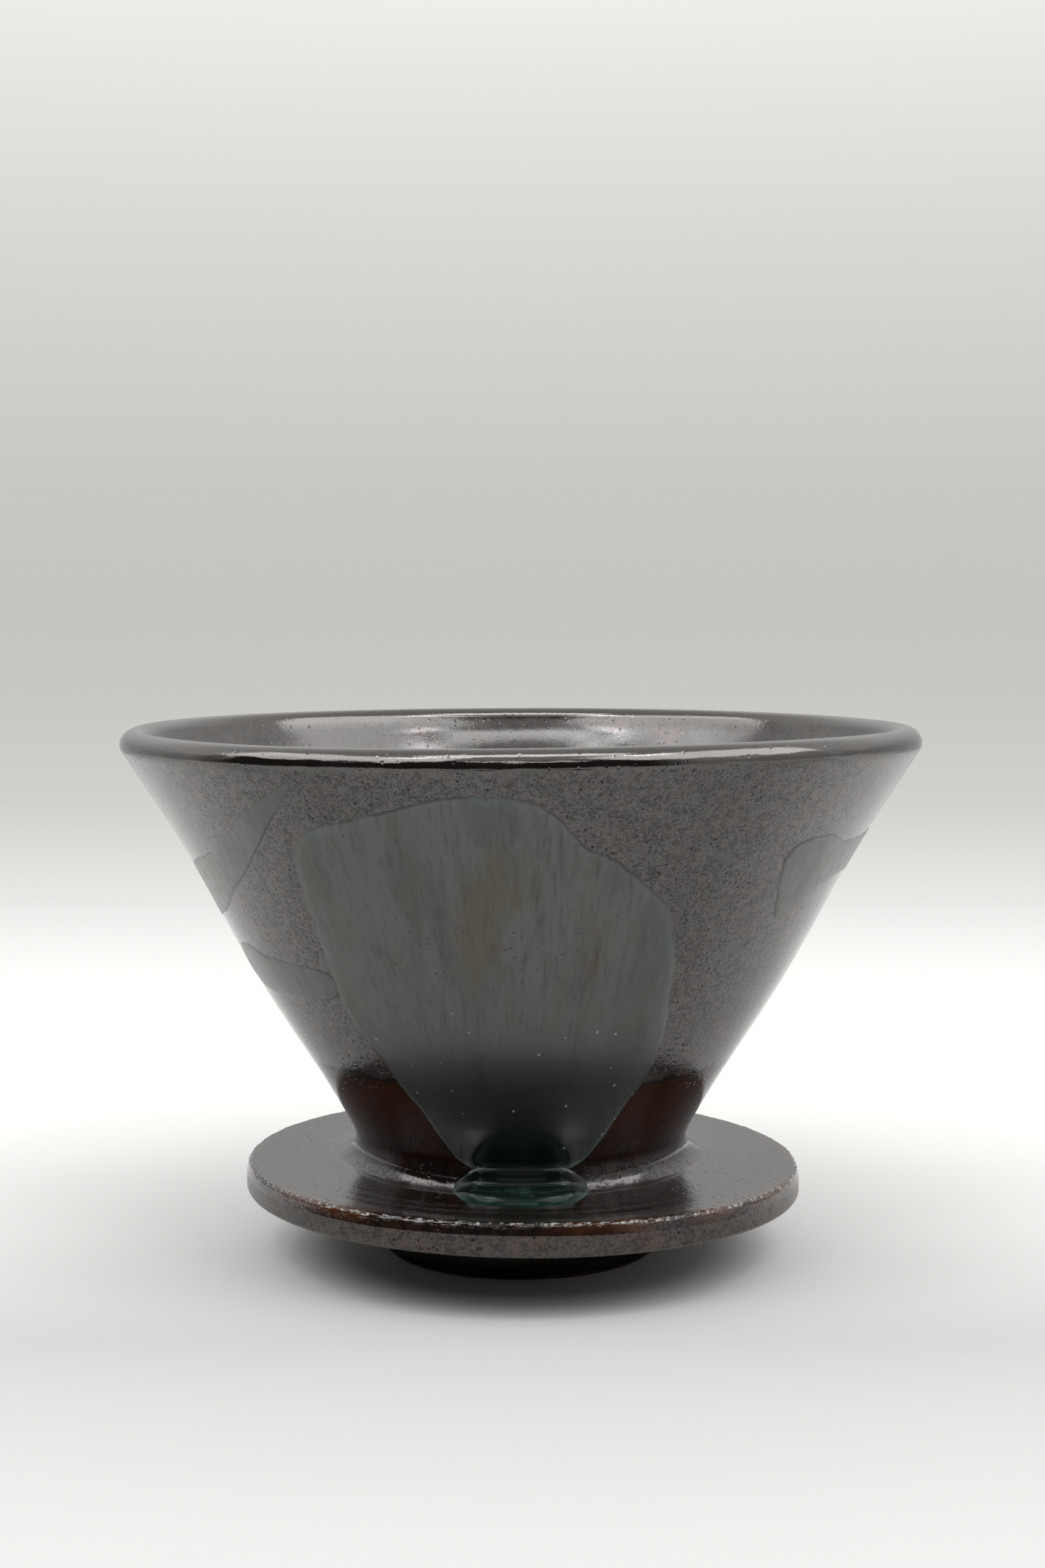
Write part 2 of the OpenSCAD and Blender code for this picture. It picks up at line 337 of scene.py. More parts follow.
def buildFlange():
    # one closed profile: underside, lower edge, upright side, bevel, rolled upper edge, and a dished top that
    # sweeps up into the coil
    top = neckTop + flange["rise"]
    outside = flange["radius"]
    low, lowR = flange["under"], flange["underRound"]
    under = ruled([cone["spigotRadius"], low], [outside - lowR, low], 12)
    lowEdge = arc(outside - lowR, low + lowR, lowR, -90, 0, 7)
    side = ruled([outside, low + lowR + 0.3], [outside, top - flange["bevelLow"]], 7)
    turnR, turnFrom = flange["topRound"], flange["bevelTurn"]
    turnMiddle = outside - flange["bevelIn"] - turnR * math.cos(math.radians(turnFrom))
    highEdge = arc(turnMiddle, top - turnR, turnR, turnFrom, 90, 20)
    bevel = ruled([outside, top - flange["bevelLow"]], highEdge[0], 9)
    inward = np.linspace(highEdge[-1, 0] - 0.3, cone["spigotRadius"], 80)
    dishWide = outside - flange["dishFull"] - flange["dishStart"]
    outwards = np.clip((inward - flange["dishStart"]) / dishWide, 0, 1)
    fromCoil = np.clip(inward - flange["neckRiseFrom"], 0, None)
    dish = (neckTop + flange["rise"] * outwards ** 2
            + flange["neckRise"] * np.exp(-fromCoil / flange["neckRiseReach"]))
    profile = np.concatenate([under, lowEdge, side, bevel, highEdge, np.stack([inward, dish], axis=-1)])
    arrisR, arrisZ = outside - flange["arrisIn"], top - flange["arrisDown"]
    fromArris = np.hypot(profile[:, 0] - arrisR, profile[:, 1] - arrisZ)
    breaks = np.exp(-(fromArris / flange["breakReach"]) ** 2)
    crust = np.exp(-(fromArris / flange["crustReach"]) ** 2)
    belowBevel = np.clip((top - flange["bevelLow"] + 0.1 - profile[:, 1]) / 0.2, 0, 1)
    onSide = belowBevel * np.clip((profile[:, 0] - (outside - 1)) / 0.3, 0, 1)

    def shape(radius, angle, height):
        # turning rings on the top, a wavering crumbly edge, and the edge lifted at the front
        onTop = np.clip((height - neckTop + 0.5) / 0.5, 0, 1)
        fade = np.clip((radius - flange["leanStart"]) / 3, 0, 1) * np.clip((outside - 1 - radius) / 1.5, 0, 1)
        rings = flange["ripple"] * (0.3 * np.sin(fullTurn * radius / 2.6 + 0.6 * np.sin(angle + 1))
                                    + 0.8 * waves(angle, radius, 31, 8, 5, 3.5))
        waver = flange["edgeWaver"] * waves(angle, 0 * radius, 33, 12, 24)
        outerPart = np.clip((radius - outside + 4) / 4, 0, 1)
        crumbs = flange["edgeCrumbs"] * crust[:, None] * crumbly(radius.shape, 34)
        lift = onTop * (rings * fade + 0.5 * waver * outerPart)
        upper = np.clip((height - top + flange["bevelLow"] + 0.4) / 0.4, 0, 1)
        lift = lift + flange["frontLift"] * np.exp(8 * (np.cos(angle) - 1)) * upper * outerPart
        return radius + waver * outerPart + crumbs, height + lift + crumbs

    points, faces, marks = turned(profile, flange["around"], shape,
                                  {"breaks": breaks, "crust": crust, "side": onSide})
    piece = makePiece("flangeRing", leanFlange(points).reshape(-1, 3), faces, marks)
    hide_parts("flange_plate")
    return piece


foot = {
    "radius": 21.5,
    "wall": 4,
    "bevel": 0.7,               # round of the outer base edge
    "cove": 2.5,                # radius of the hollow where it spreads under the flange
    "height": flange["under"],
    "waver": 0.05,
    "around": 384,
}


def buildFoot():
    # one closed profile: base, rounded edge, wall, cove under the flange, and back down inside the ring
    inside = foot["radius"] - foot["wall"]
    coveR = foot["radius"] + foot["cove"]
    base = ruled([inside + 0.4, 0], [foot["radius"] - foot["bevel"], 0], 8)
    bevel = arc(foot["radius"] - foot["bevel"], foot["bevel"], foot["bevel"], -90, 0, 6)
    wall = ruled([foot["radius"], 1.2], [foot["radius"], foot["height"] - foot["cove"]], 10)
    cove = arc(coveR, foot["height"] - foot["cove"], foot["cove"], 180, 96, 12)
    top = np.array([[coveR - 0.2, foot["height"]], [inside, foot["height"]]])
    down = ruled([inside, foot["height"] - 1], [inside, 0.4], 8)
    profile = np.concatenate([base, bevel, wall, cove, top, down, [[inside + 0.1, 0.1]]])

    def shape(radius, angle, height):
        # trimmed on the wheel: a faint wobble only
        fade = np.clip(height / 2, 0, 1) * np.clip((foot["height"] - height) / 2, 0, 1)
        return radius + foot["waver"] * fade * waves(angle, height, 41, 6, 5, 4.0), height

    points, faces, marks = turned(profile, foot["around"], shape, {})
    piece = makePiece("footRing", points.reshape(-1, 3), faces, marks)
    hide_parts("foot_ring")
    return piece


coil = {
    "high": 3.8,
    "wide": 6.2,
    "sink": 0.12,               # how far its feathered edges lie beneath the wall and the flange
    "lessWide": 0.60,           # how much narrower it is at the front and the back than at the sides
    "lessHigh": 0.36,
    "arcStart": 183,            # the stretch of the ellipse that is used, degrees: a little short of a
    "arcTurn": 84,              # quarter, so that neither end runs on past the wall or the flange
    "dents": 0.07,              # depth of the broad finger marks
    "dabs": 0.03,               # and of the small ones
}


def coilFront(angle):
    # one at the front and the back, nothing at the sides: a flattened cosine of twice the angle
    return (0.5 + 0.5 * np.cos(2 * angle)) ** 0.6


def coilSurface(t, front=0.0):
    # a quarter of an ellipse, hollow outwards, from the wall down to the flange as t goes from 0 to 1
    angle = np.radians(coil["arcStart"] + coil["arcTurn"] * t)
    wide = coil["wide"] * (1 - coil["lessWide"] * front)
    high = coil["high"] * (1 - coil["lessHigh"] * front)
    return cone["neckRadius"] + 0.05 + wide * (1 + np.cos(angle)), neckTop + 0.05 + high * (1 + np.sin(angle))


def buildCoil():
    # hollow curve outside, and a hidden corner inside the clay
    t = np.linspace(0, 1, 30)
    radius, height = coilSurface(t)
    curve = np.stack([radius, height], axis=-1)
    neck, sink = cone["neckRadius"], coil["sink"]
    start = [[neck - sink, neckTop + coil["high"] + 0.4]]
    end = [[neck + coil["wide"] + 0.4, neckTop - sink], [neck - 0.8, neckTop - sink]]
    profile = np.concatenate([start, curve, end])

    def shape(radius, angle, height):
        # drawn in towards the neck at the front and the back, with finger marks along the hollow
        dent = (coil["dents"] * waves(angle, 0 * height, 51, 9, 14)
                + coil["dabs"] * waves(angle, height, 52, 9, 60, 2.0))
        middle = np.zeros_like(radius)
        middle[1:-2] = np.sin(np.pi * t)[:, None]
        front = coilFront(angle)
        radius = neck + (radius - neck) * np.where(radius > neck, 1 - coil["lessWide"] * front, 1)
        height = neckTop + (height - neckTop) * np.where(height > neckTop, 1 - coil["lessHigh"] * front, 1)
        return radius + dent * middle, height + dent * middle

    points, faces, marks = turned(profile, cone["around"], shape, {})
    piece = makePiece("neckCoil", points.reshape(-1, 3), faces, marks)
    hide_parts("neck_coil")
    return piece


rib = {
    "count": 12,
    "halfWidth": 3.1,
    "rise": 2.0,
    "low": 12,                  # heights of its two ends
    "high": 68,
    "sink": 0.5,                # how deep its underside lies in the wall
    "stray": 0.012,             # how far it strays from a straight line, radians round the cone
    "uneven": 0.05,             # share by which its height varies
}


def buildRib(k):
    # a bar laid up the inner wall: cosine hump across, rounded ends, edges feathered into the wall
    turn = (k - 0.5) * fullTurn / rib["count"] + math.pi / 2
    along = np.linspace(0, 1, 72)[:, None]
    across = np.linspace(-1, 1, 25)[None, :]
    height = rib["low"] + (rib["high"] - rib["low"]) * along + 0 * across
    radius = innerRadius(height)
    angle = turn + across * rib["halfWidth"] / radius + rib["stray"] * np.sin(3 * along + k)
    ends = np.sqrt(np.clip(1 - np.abs(2 * along - 1) ** 14, 0, 1))
    hump = (0.5 + 0.5 * np.cos(np.pi * across)) ** 0.8 * ends
    rise = rib["rise"] * hump * (1 + rib["uneven"] * np.sin(9 * along + 2 * k))

    def lifted(amount):
        # moved off the inner wall, square to it
        return place(radius - amount * math.cos(innerTilt), angle, height + amount * math.sin(innerTilt))

    piece = patch(f"rib{k:02d}", lifted(rise), lifted(0 * rise - rib["sink"]),
                  {"breaks": 0.55 * hump ** 3, "inside": np.ones_like(hump)})
    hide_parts(f"rib_{k:02d}")
    return piece


pourEdge = {
    "sink": 0.3,                # how deep a pour's underside lies in the wall
    "waver": 0.38,              # how far its outline wavers
    "waverTurns": (9, 14, 23, 37, 51, 74, 103, 131),
    "slope": 0.8,               # distance over which the coat thickens
    "bead": 0.02,               # height of the bead that runs round inside the edge
    "beadIn": 1.0,
    "beadHalf": 0.6,
}
# centres and outlines are (degrees round from the front, height), with so many steps from point to point
pours = {
    "frontPour": {
        "node": "front_pour", "centre": (-3, 47), "thick": 0.17, "seed": 61, "steps": 28,
        "outline": [
            (-34, 69), (-37, 62), (-37.5, 52), (-38.4, 43), (-34, 34.5), (-29, 27.5), (-20, 19),
            (0, 17.2), (20, 19), (29, 27.5), (32.5, 34), (30, 47), (27.5, 53.5), (23.5, 60),
            (15, 66), (9, 69), (2, 75), (-10, 75.7), (-24, 72.4)]},
    "leftStreak": {
        "node": "left_streak", "centre": (-62, 61), "thick": 0.12, "seed": 62, "steps": 22,
        "outline": [
            (-30.5, 77.5), (-38, 71), (-46.5, 64.8), (-56.5, 59.8), (-66, 56), (-80, 53.5),
            (-92, 52), (-97, 55), (-88, 60), (-72, 63), (-57, 65.7), (-47, 69.8), (-38, 74.4)]},
    "leftPour": {
        "node": "left_pour", "centre": (-57, 46.7), "thick": 0.12, "seed": 63, "steps": 22,
        "outline": [
            (-38.4, 48.5), (-46, 49.3), (-57, 49.7), (-65, 50.8), (-72, 49.8), (-77, 46.4),
            (-72, 43.6), (-60, 43.3), (-48, 43.6), (-38.4, 45.2)]},
    "rightPour": {
        "node": "right_pour", "centre": (68, 63.4), "thick": 0.12, "seed": 64, "steps": 22,
        "outline": [
            (46, 67.2), (45, 63.5), (47, 60), (49.5, 56.2), (54, 57.2), (62, 59.8), (75, 61),
            (88, 59.5), (97, 62.5), (90, 67), (76, 67), (62, 66.6), (54, 68.2)]},
    "rearPour": {
        "node": "rear_pour", "centre": (178, 56), "thick": 0.16, "seed": 65, "steps": 22,
        "outline": [
            (150, 73), (147, 63), (154, 53), (158, 43), (166, 32), (177, 27), (187, 33), (191, 45),
            (202, 53), (209, 63), (204, 72), (188, 75), (168, 74.6)]},
}


def buildPour(name, pour):
    # rays from a centre out to the wavering outline; the coat thickens from the edge inwards by a falling
    # exponential, with a low bell-shaped bead just inside the edge
    ring = smoothLoop(pour["outline"], pour["steps"])
    cols = len(ring)
    turn = np.linspace(0, fullTurn, cols, endpoint=False)
    dice = np.random.default_rng(pour["seed"])
    waver = sum(np.sin(n * turn + dice.uniform(0, fullTurn)) / n ** 0.6 for n in pourEdge["waverTurns"])
    centre = np.array(pour["centre"], float)
    reach = ring - centre
    middleR = wallRadius(centre[1])
    spanMm = np.hypot(np.radians(reach[:, 0]) * middleR, reach[:, 1] / math.cos(innerTilt))
    ring = centre + reach * (1 + pourEdge["waver"] * waver / spanMm)[:, None]
    out = np.concatenate([[0], 1 - (1 - np.linspace(0.04, 1, 46)) ** 1.6])[:, None]
    angle = np.radians(centre[0] + out * (ring[:, 0] - centre[0])[None, :])
    height = centre[1] + out * (ring[:, 1] - centre[1])[None, :]
    inward = (1 - out) * spanMm[None, :]
    bead = pourEdge["bead"] * np.exp(-((inward - pourEdge["beadIn"]) / pourEdge["beadHalf"]) ** 2)
    coat = pour["thick"] * (1 - np.exp(-inward / pourEdge["slope"])) + bead
    radius = wallRadius(height) + wallMarks(angle, height)
    lean = np.arctan(wallRadius(height + 0.5) - wallRadius(height - 0.5))

    def lifted(amount):
        # moved outwards along the wall's own normal
        points = place(radius + amount * np.cos(lean), angle, height - amount * np.sin(lean))
        return leanCone(points)

    top, bottom = lifted(coat), lifted(0 * coat - pourEdge["sink"])
    rows = len(out)
    points = np.concatenate([top[:1, :1].reshape(-1, 3), top[1:].reshape(-1, 3),
                             bottom[1:][::-1].reshape(-1, 3), bottom[:1, :1].reshape(-1, 3)])
    count = 2 * (rows - 1)
    faces = ringFaces(count, cols, False, True) + 1
    first = np.arange(cols)
    second = (first + 1) % cols
    topFan = np.stack([0 * first, second + 1, first + 1], axis=-1)
    last = 1 + (count - 1) * cols
    lowFan = np.stack([0 * first + 1 + count * cols, last + first, last + second], axis=-1)
    if facesOut(points, faces) is not faces:
        topFan, lowFan = topFan[:, ::-1], lowFan[:, ::-1]
    edge = np.concatenate([inward[:1, :1].ravel(), inward[1:].ravel(), inward[1:][::-1].ravel(), [0.0]])
    piece = makePiece(name, points, faces, {"edgeMm": edge}, topFan.tolist() + lowFan.tolist())
    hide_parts(pour["node"])
    return piece


pool = {
    "filmHalf": 24,             # half the film's spread round the neck, degrees
    "filmFull": 12,             # it has its whole thickness within this half spread
    "film": [                   # section from the wall down to the step above the puddle
        (25.8, 18.7), (26.15, 18.35), (26.45, 17.95), (26.9, 17.6), (27.5, 17.2), (28.0, 16.8), (28.3, 16.5),
        (28.45, 16.2)],
    "filmShare": 0.42,          # how far down the coil's hollow the film's ends reach
    "lensHalf": 22,             # half the puddle's spread, degrees
    "lensReach": 4.3,           # how far the puddle spreads from the film's foot
    "lensStep": 0.16,           # drop from the film to the puddle
    "lensSink": 0.15,           # how deep the puddle's outer edge lies in the flange
    "sink": 0.12,               # how deep the pool's ends lie in the coil
    "coilAt": 0.2,              # where round the neck the coil's section beneath is taken, radians
    "underReach": 33,           # radius of the hidden underside
}


def softCurve(points, count, passes):
    # straight runs from point to point, sampled evenly, whose corners are smoothed by averaging neighbours
    stations = np.linspace(0, 1, len(points))
    t = np.linspace(0, 1, count)
    curve = np.stack([np.interp(t, stations, np.array(points)[:, k]) for k in (0, 1)], axis=-1)
    for _ in range(passes):
        curve[1:-1] = 0.25 * curve[:-2] + 0.5 * curve[1:-1] + 0.25 * curve[2:]
    return curve


def buildPool():
    # a film that runs down over the coil, and a puddle on the flange that starts at the film's foot, half an
    # ellipse in plan with a flattened dome; both melt into the coil's hollow towards their ends
    turn = np.linspace(-1, 1, 181)[None, :] * pool["filmHalf"]
    film = softCurve(pool["film"], 40, 3)
    front, sink = coilFront(pool["coilAt"]), pool["sink"]
    coilR, coilZ = coilSurface(np.linspace(0, pool["filmShare"], len(film)), front)
    rise = ease(np.clip((pool["filmHalf"] - np.abs(turn)) / (pool["filmHalf"] - pool["filmFull"]), 0, 1))
    filmR = (coilR - sink)[:, None] + (film[:, 0] - coilR + sink)[:, None] * rise
    filmZ = (coilZ - sink)[:, None] + (film[:, 1] - coilZ + sink)[:, None] * rise
    lens = np.sqrt(np.clip(1 - (turn / pool["lensHalf"]) ** 2, 0, 1))
    out = np.linspace(0, 1, 42)[1:, None]
    lensR = filmR[-1:] + 0.1 + pool["lensReach"] * lens * out
    dome = (1 - out ** 5) ** 0.75
    ground = neckTop - pool["lensSink"]
    startZ = filmZ[-1:] - pool["lensStep"] * rise
    lensZ = ground + (startZ - ground) * dome
    under = np.interp(lensR, *coilSurface(np.linspace(0, 1, 80), front))
    lensZ = np.maximum(lensZ, under - sink)
    radius = np.concatenate([filmR, lensR])
    height = np.concatenate([filmZ, lensZ])
    angle = np.radians(turn) + 0 * radius
    top = place(radius, angle, height)
    lowR = np.minimum(radius - 0.25, pool["underReach"])
    nearNeck = 3 * (radius < 27)        # the underside is higher there
    lowZ = np.minimum(height - 0.3, neckTop + 0 * height + nearNeck)
    low = place(lowR, angle, lowZ)
    deep = np.concatenate([0 * filmR, np.clip(lensZ - under, 0, None)])
    puddle = np.concatenate([0 * filmR, 1 + 0 * lensR])
    ends = np.clip((np.abs(turn) / pool["lensHalf"] - 0.55) / 0.35, 0, 1) + 0 * radius
    piece = patch("glazePool", top, low, {"deep": deep, "puddle": puddle, "ends": ends})
    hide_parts("glaze_pool")
    return piece


def addNode(tree, kind, inputs=None, **settings):
    # makes a node, sets its properties, and links or fills its inputs
    made = tree.nodes.new(kind)
    for key, value in settings.items():
        setattr(made, key, value)
    for key, value in (inputs or {}).items():
        socket = made.inputs[key]
        if isinstance(value, bpy.types.NodeSocket):
            tree.links.new(value, socket)
        else:
            socket.default_value = value
    return made


def newFinish(name):
    # a material with only a principled shader and its output, and the coordinates of the piece it is on
    finish = bpy.data.materials.new(name)
    finish.use_nodes = True
    tree = finish.node_tree
    tree.nodes.clear()
    shader = addNode(tree, "ShaderNodeBsdfPrincipled")
    output = addNode(tree, "ShaderNodeOutputMaterial")
    tree.links.new(shader.outputs[0], output.inputs[0])
    where = addNode(tree, "ShaderNodeTexCoord").outputs["Object"]
    return finish, tree, shader, where


def grains(tree, where, perMetre, detail=4.0, rough=0.6, stretch=(1, 1, 1), shift=(0, 0, 0)):
    # cloudy noise, with its grain stretched along chosen axes
    turnedTo = addNode(tree, "ShaderNodeMapping", {"Vector": where, "Scale": stretch, "Location": shift})
    noise = addNode(tree, "ShaderNodeTexNoise", {"Vector": turnedTo.outputs[0], "Scale": perMetre,
                                                 "Detail": detail, "Roughness": rough})
    return noise.outputs["Fac"]


def downTheWall(tree, where):
    # x and y divided by the height above the point where the wall's cone would end, so that grain drawn out
    # in z runs straight down the wall
    parts = addNode(tree, "ShaderNodeSeparateXYZ", {0: where}).outputs
    halfAngle = math.radians(cone["wallAngle"] / 2)
    point = (wallTop - (cone["rimRadius"] - cone["lipStep"]) / math.tan(halfAngle)) * mm
    reach = sums(tree, "SUBTRACT", parts[2], point)
    x = sums(tree, "DIVIDE", parts[0], reach)
    y = sums(tree, "DIVIDE", parts[1], reach)
    return addNode(tree, "ShaderNodeCombineXYZ", {0: x, 1: y, 2: parts[2]}).outputs[0]


def heightOf(tree, where):
    # height above the table, in metres
    return addNode(tree, "ShaderNodeSeparateXYZ", {0: where}).outputs[2]


def dots(tree, where, perMetre, size):
    # round dots, one in each cell of a scattered grid; 1 in the middle of a dot
    cells = addNode(tree, "ShaderNodeTexVoronoi", {"Vector": where, "Scale": perMetre})
    return span(tree, cells.outputs["Distance"], size, size * 0.45)


def span(tree, value, low, high, outLow=0.0, outHigh=1.0):
    # maps a range of one value onto another, held at both ends
    made = addNode(tree, "ShaderNodeMapRange", {"Value": value, "From Min": low, "From Max": high,
                                                "To Min": outLow, "To Max": outHigh}, clamp=True)
    return made.outputs[0]


def sums(tree, kind, a, b):
    # one arithmetic step
    return addNode(tree, "ShaderNodeMath", {0: a, 1: b}, operation=kind).outputs[0]


def blend(tree, amount, a, b):
    # from colour a to colour b as the amount goes from 0 to 1
    made = addNode(tree, "ShaderNodeMix", {"Factor": amount}, data_type="RGBA")
    for key, value in ((6, a), (7, b)):
        if isinstance(value, bpy.types.NodeSocket):
            tree.links.new(value, made.inputs[key])
        else:
            made.inputs[key].default_value = (*value, 1)
    return made.outputs[2]


def mark(tree, name):
    # a value stored on the mesh
    return addNode(tree, "ShaderNodeAttribute", attribute_name=name).outputs["Fac"]


def relief(tree, height, depth, under=None):
    # raises the surface by depth millimetres where height is 1
    inputs = {"Height": height, "Distance": depth * mm, "Strength": 1.0}
    if under is not None:
        inputs["Normal"] = under
    return addNode(tree, "ShaderNodeBump", inputs).outputs[0]


darkGlazeLook = {
    "deep": (0.0056, 0.0042, 0.0040),
    "rust": (0.0170, 0.0082, 0.0052),
    "amber": (0.060, 0.021, 0.0070),
    "neck": (0.0205, 0.0050, 0.0008),
    "neckFleck": (0.065, 0.016, 0.004),
    "side": (0.034, 0.019, 0.010),
    "crystalGlint": (0.27, 0.25, 0.225),
    "neckEnd": 33.7,            # the thick clear run of glaze at the neck ends near this height, mm
    "neckStart": 18.3,
    "jag": 3.4,                 # how ragged that end is, mm
    "grains": {                 # grain, waves a metre
        "cloud": 45, "hue": 190, "pitted": 210, "jag": 420, "mottle": 700, "crust": 1500, "grit": 2500,
        "fine": 4200},
    "pits": 850,                # pits and pale crystal specks, which are also a painted glint on the arris, in cells a metre
    "crystalGlints": 1250,
    "glossBlue": (0.88, 0.94, 0.97),
    "glossPink": (0.98, 0.885, 0.86),
    "glossLip": (0.98, 0.91, 0.84),
    "glossDark": (0.44, 0.42, 0.42),
    "glossPit": (0.14, 0.12, 0.12),
    "glossNeck": (0.02, 0.01, 0.01),
}


def darkGlaze(name, ior, amberFrom):
    # near-black iron glaze: its skin of fine crystals reflects unevenly, blue here and pink there, between
    # fine pits and dull grit; smoother and warmer on the lip, veiled inside; thick, clear and red-brown at
    # the neck, up to a ragged edge; amber where it breaks over an edge, crusted on the flange's arris with
    # pale crystal specks that are also a painted dotted highlight, and rusty on its side
    look, size = darkGlazeLook, darkGlazeLook["grains"]
    finish, tree, shader, where = newFinish(name)
    height = heightOf(tree, where)
    cloud = grains(tree, where, size["cloud"], 3)
    mottle = grains(tree, where, size["mottle"], 3, 0.6)
    grit = grains(tree, where, size["grit"], 2, 0.6)
    fine = grains(tree, where, size["fine"], 2, 0.6)
    hue = grains(tree, where, size["hue"], 5, 0.72, shift=(3, 1, 2))
    lip = mark(tree, "lip")
    inside = mark(tree, "inside")
    smooth = sums(tree, "MAXIMUM", sums(tree, "MULTIPLY", inside, 0.75), sums(tree, "MULTIPLY", lip, 0.6))
    rugged = sums(tree, "SUBTRACT", 1.0, sums(tree, "MULTIPLY", smooth, 0.8))
    pits = sums(tree, "MULTIPLY", dots(tree, where, look["pits"], 0.25), rugged)
    pitted = span(tree, grains(tree, where, size["pitted"], 3, shift=(1, 4, 2)), 0.44, 0.54)
    pits = sums(tree, "MULTIPLY", pits, pitted)
    jag = sums(tree, "MULTIPLY", grains(tree, where, size["jag"], 1.5, 0.5), look["jag"] * mm)
    ragged = sums(tree, "ADD", height, jag)
    start, edge = look["neckStart"], look["neckEnd"] * mm
    neck = sums(tree, "MULTIPLY", span(tree, ragged, edge + 0.12 * mm, edge - 0.12 * mm),
                span(tree, height, (start - 0.6) * mm, (start + 0.6) * mm))
    neck = sums(tree, "MULTIPLY", neck, sums(tree, "SUBTRACT", 1.0, inside))
    thin = sums(tree, "MULTIPLY", mark(tree, "breaks"), span(tree, cloud, amberFrom, amberFrom + 0.10))
    colour = blend(tree, span(tree, mottle, 0.42, 0.62), look["deep"], look["rust"])
    run = blend(tree, span(tree, height, 16 * mm, 25 * mm), look["deep"], look["neck"])
    run = blend(tree, span(tree, grit, 0.60, 0.70), run, look["neckFleck"])
    run = blend(tree, span(tree, ragged, edge - 1.1 * mm, edge - 0.5 * mm), run, look["deep"])
    colour = blend(tree, neck, colour, run)
    colour = blend(tree, thin, colour, look["amber"])
    colour = blend(tree, sums(tree, "MAXIMUM", pits, lip), colour, look["deep"])
    # pale specks on the crusted arris: crystals, and a painted dotted highlight that is there whatever the
    # light
    crystalGlints = sums(tree, "MULTIPLY", dots(tree, where, look["crystalGlints"], 0.46),
                    span(tree, mark(tree, "crust"), 0.35, 0.75))
    colour = blend(tree, crystalGlints, colour, look["crystalGlint"])
    rusty = sums(tree, "MULTIPLY", mark(tree, "side"), span(tree, mottle, 0.40, 0.62, 0.2, 0.8))
    colour = blend(tree, rusty, colour, look["side"])
    tree.links.new(colour, shader.inputs["Base Color"])
    gloss = blend(tree, span(tree, hue, 0.40, 0.60), look["glossPink"], look["glossBlue"])
    dull = sums(tree, "ADD", sums(tree, "MULTIPLY", grit, 0.7), sums(tree, "MULTIPLY", mottle, 0.3))
    dull = sums(tree, "MULTIPLY", span(tree, dull, 0.56, 0.40), rugged)
    gloss = blend(tree, dull, gloss, look["glossDark"])
    gloss = blend(tree, pits, gloss, look["glossPit"])
    gloss = blend(tree, sums(tree, "MULTIPLY", lip, 0.7), gloss, look["glossLip"])
    veil = sums(tree, "MULTIPLY", inside, span(tree, cloud, 0.42, 0.58, 0.62, 0.10))
    gloss = blend(tree, veil, gloss, look["glossDark"])
    gloss = blend(tree, sums(tree, "MULTIPLY", neck, 0.97), gloss, look["glossNeck"])
    tree.links.new(gloss, shader.inputs["Specular Tint"])
    rough = span(tree, mottle, 0.3, 0.7, 0.07, 0.14)
    rough = sums(tree, "ADD", rough, sums(tree, "MULTIPLY", mark(tree, "side"), 0.16))
    rough = sums(tree, "ADD", rough, sums(tree, "MULTIPLY", inside, 0.06))
    rough = sums(tree, "SUBTRACT", rough, sums(tree, "MULTIPLY", mark(tree, "breaks"), 0.05))
    tree.links.new(rough, shader.inputs["Roughness"])
    skin = relief(tree, sums(tree, "MULTIPLY", mottle, rugged), 0.026)
    skin = relief(tree, sums(tree, "MULTIPLY", grit, rugged), 0.020, skin)
    skin = relief(tree, fine, 0.006, skin)
    skin = relief(tree, sums(tree, "SUBTRACT", 1.0, pits), 0.04, skin)
    crust = sums(tree, "MULTIPLY", grains(tree, where, size["crust"], 2, 0.6), mark(tree, "crust"))
    skin = relief(tree, crust, 0.13, skin)
    tree.links.new(skin, shader.inputs["Normal"])
    shader.inputs["IOR"].default_value = ior
    return finish


ashGlazeLook = {
    "body": (0.0120, 0.0150, 0.0140),
    "blue": (0.0120, 0.0160, 0.0165),
    "brown": (0.0230, 0.0175, 0.0105),
    "depth": (0.0190, 0.0206, 0.0196),
    "foot": (0.0022, 0.0050, 0.0060),
    "rim": (0.034, 0.052, 0.045),
    "paleEdge": (0.085, 0.120, 0.100),
    # the line colour is painted shade along the pour's edge
    "line": (0.007, 0.005, 0.005),
    "bubble": (0.34, 0.38, 0.35),
    "glossBody": (0.96, 0.98, 0.94),
    "glossBlue": (0.74, 0.785, 0.78),
    "glossBrown": (0.82, 0.775, 0.68),
    "glossLow": (0.70, 0.72, 0.72),
    "glossLine": (0.50, 0.48, 0.48),
    "clear": (48.5, 32.5),      # it turns clear and green between these heights, mm
    "clearWaver": 12,           # how far a smudge moves that stretch up or down, mm
    "footFrom": (35, 21),       # it darkens towards the pool between these
    "dryFrom": (36, 52),        # and is drier and rougher between these
    "grains": {                 # grain, waves a metre; the first four are drawn out down the wall
        "smudge": 7, "warm": 11, "streaks": 40, "brush": 130, "patchy": 85, "mottle": 600},
    "bubbles": 330,             # bubbles and pits, in cells a metre
    "pits": 620,
    "ior": 2.02,
}


